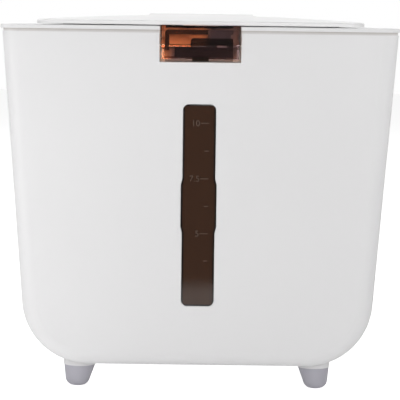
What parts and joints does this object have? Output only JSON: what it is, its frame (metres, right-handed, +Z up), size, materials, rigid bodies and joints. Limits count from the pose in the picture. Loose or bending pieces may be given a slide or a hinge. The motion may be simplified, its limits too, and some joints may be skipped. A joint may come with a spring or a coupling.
{
  "type": "rice bin",
  "caption": "Free-standing white rice storage bin with a flip lid, a see-through press latch, a sight window with a level scale and rubber-tipped feet.",
  "frame": {"origin": "on the floor under the middle of the top frame, at the centre of the bounding box's base", "axes": "+Z up, the front with the latch and window faces -Y, +X to the right as seen from the front"},
  "size_m": [0.3, 0.285, 0.292],
  "materials": {
    "white_plastic": "satin",
    "brown_clear_plastic": "polished, see-through brown",
    "dark_plastic": "moulded",
    "grey_rubber": "smooth matte",
    "seal_silicone": "soft matte",
    "steel": "bright drawn"
  },
  "bodies": {
    "bin": {"tub": "white_plastic", "collar": "white_plastic", "sight_window": "brown_clear_plastic", "foot_cap_front_left": "grey_rubber", "foot_cap_front_right": "grey_rubber", "foot_cap_rear_left": "grey_rubber", "foot_cap_rear_right": "grey_rubber", "window_gasket": "seal_silicone", "collar_seal": "seal_silicone", "hinge_rod": "steel", "lid_spring": "steel", "latch_pin": "steel", "latch_spring_left": "steel", "latch_spring_right": "steel"},
    "lid": {"flip_lid": "white_plastic", "lid_liner": "white_plastic", "liner_screws": "steel", "lid_seal": "seal_silicone", "lid_catch": "white_plastic", "catch_screws": "steel"},
    "latch": {"latch_button": "brown_clear_plastic", "latch_hook": "dark_plastic"}
  },
  "joints": [
    {"name": "lid_hinge", "type": "hinge", "parent": "bin", "child": "lid", "pos_m": [0, 0.122, 0.285], "axis": [-1, 0, 0], "range_deg": [0, 95], "deforming": ["lid_spring"]},
    {"name": "latch_rock", "type": "hinge", "parent": "bin", "child": "latch", "pos_m": [0, -0.134, 0.267], "axis": [1, 0, 0], "range_deg": [0, 8], "stiffness_Nm_per_rad": 0.2, "springref_deg": -5.73, "deforming": ["latch_spring_left", "latch_spring_right"]}
  ]
}
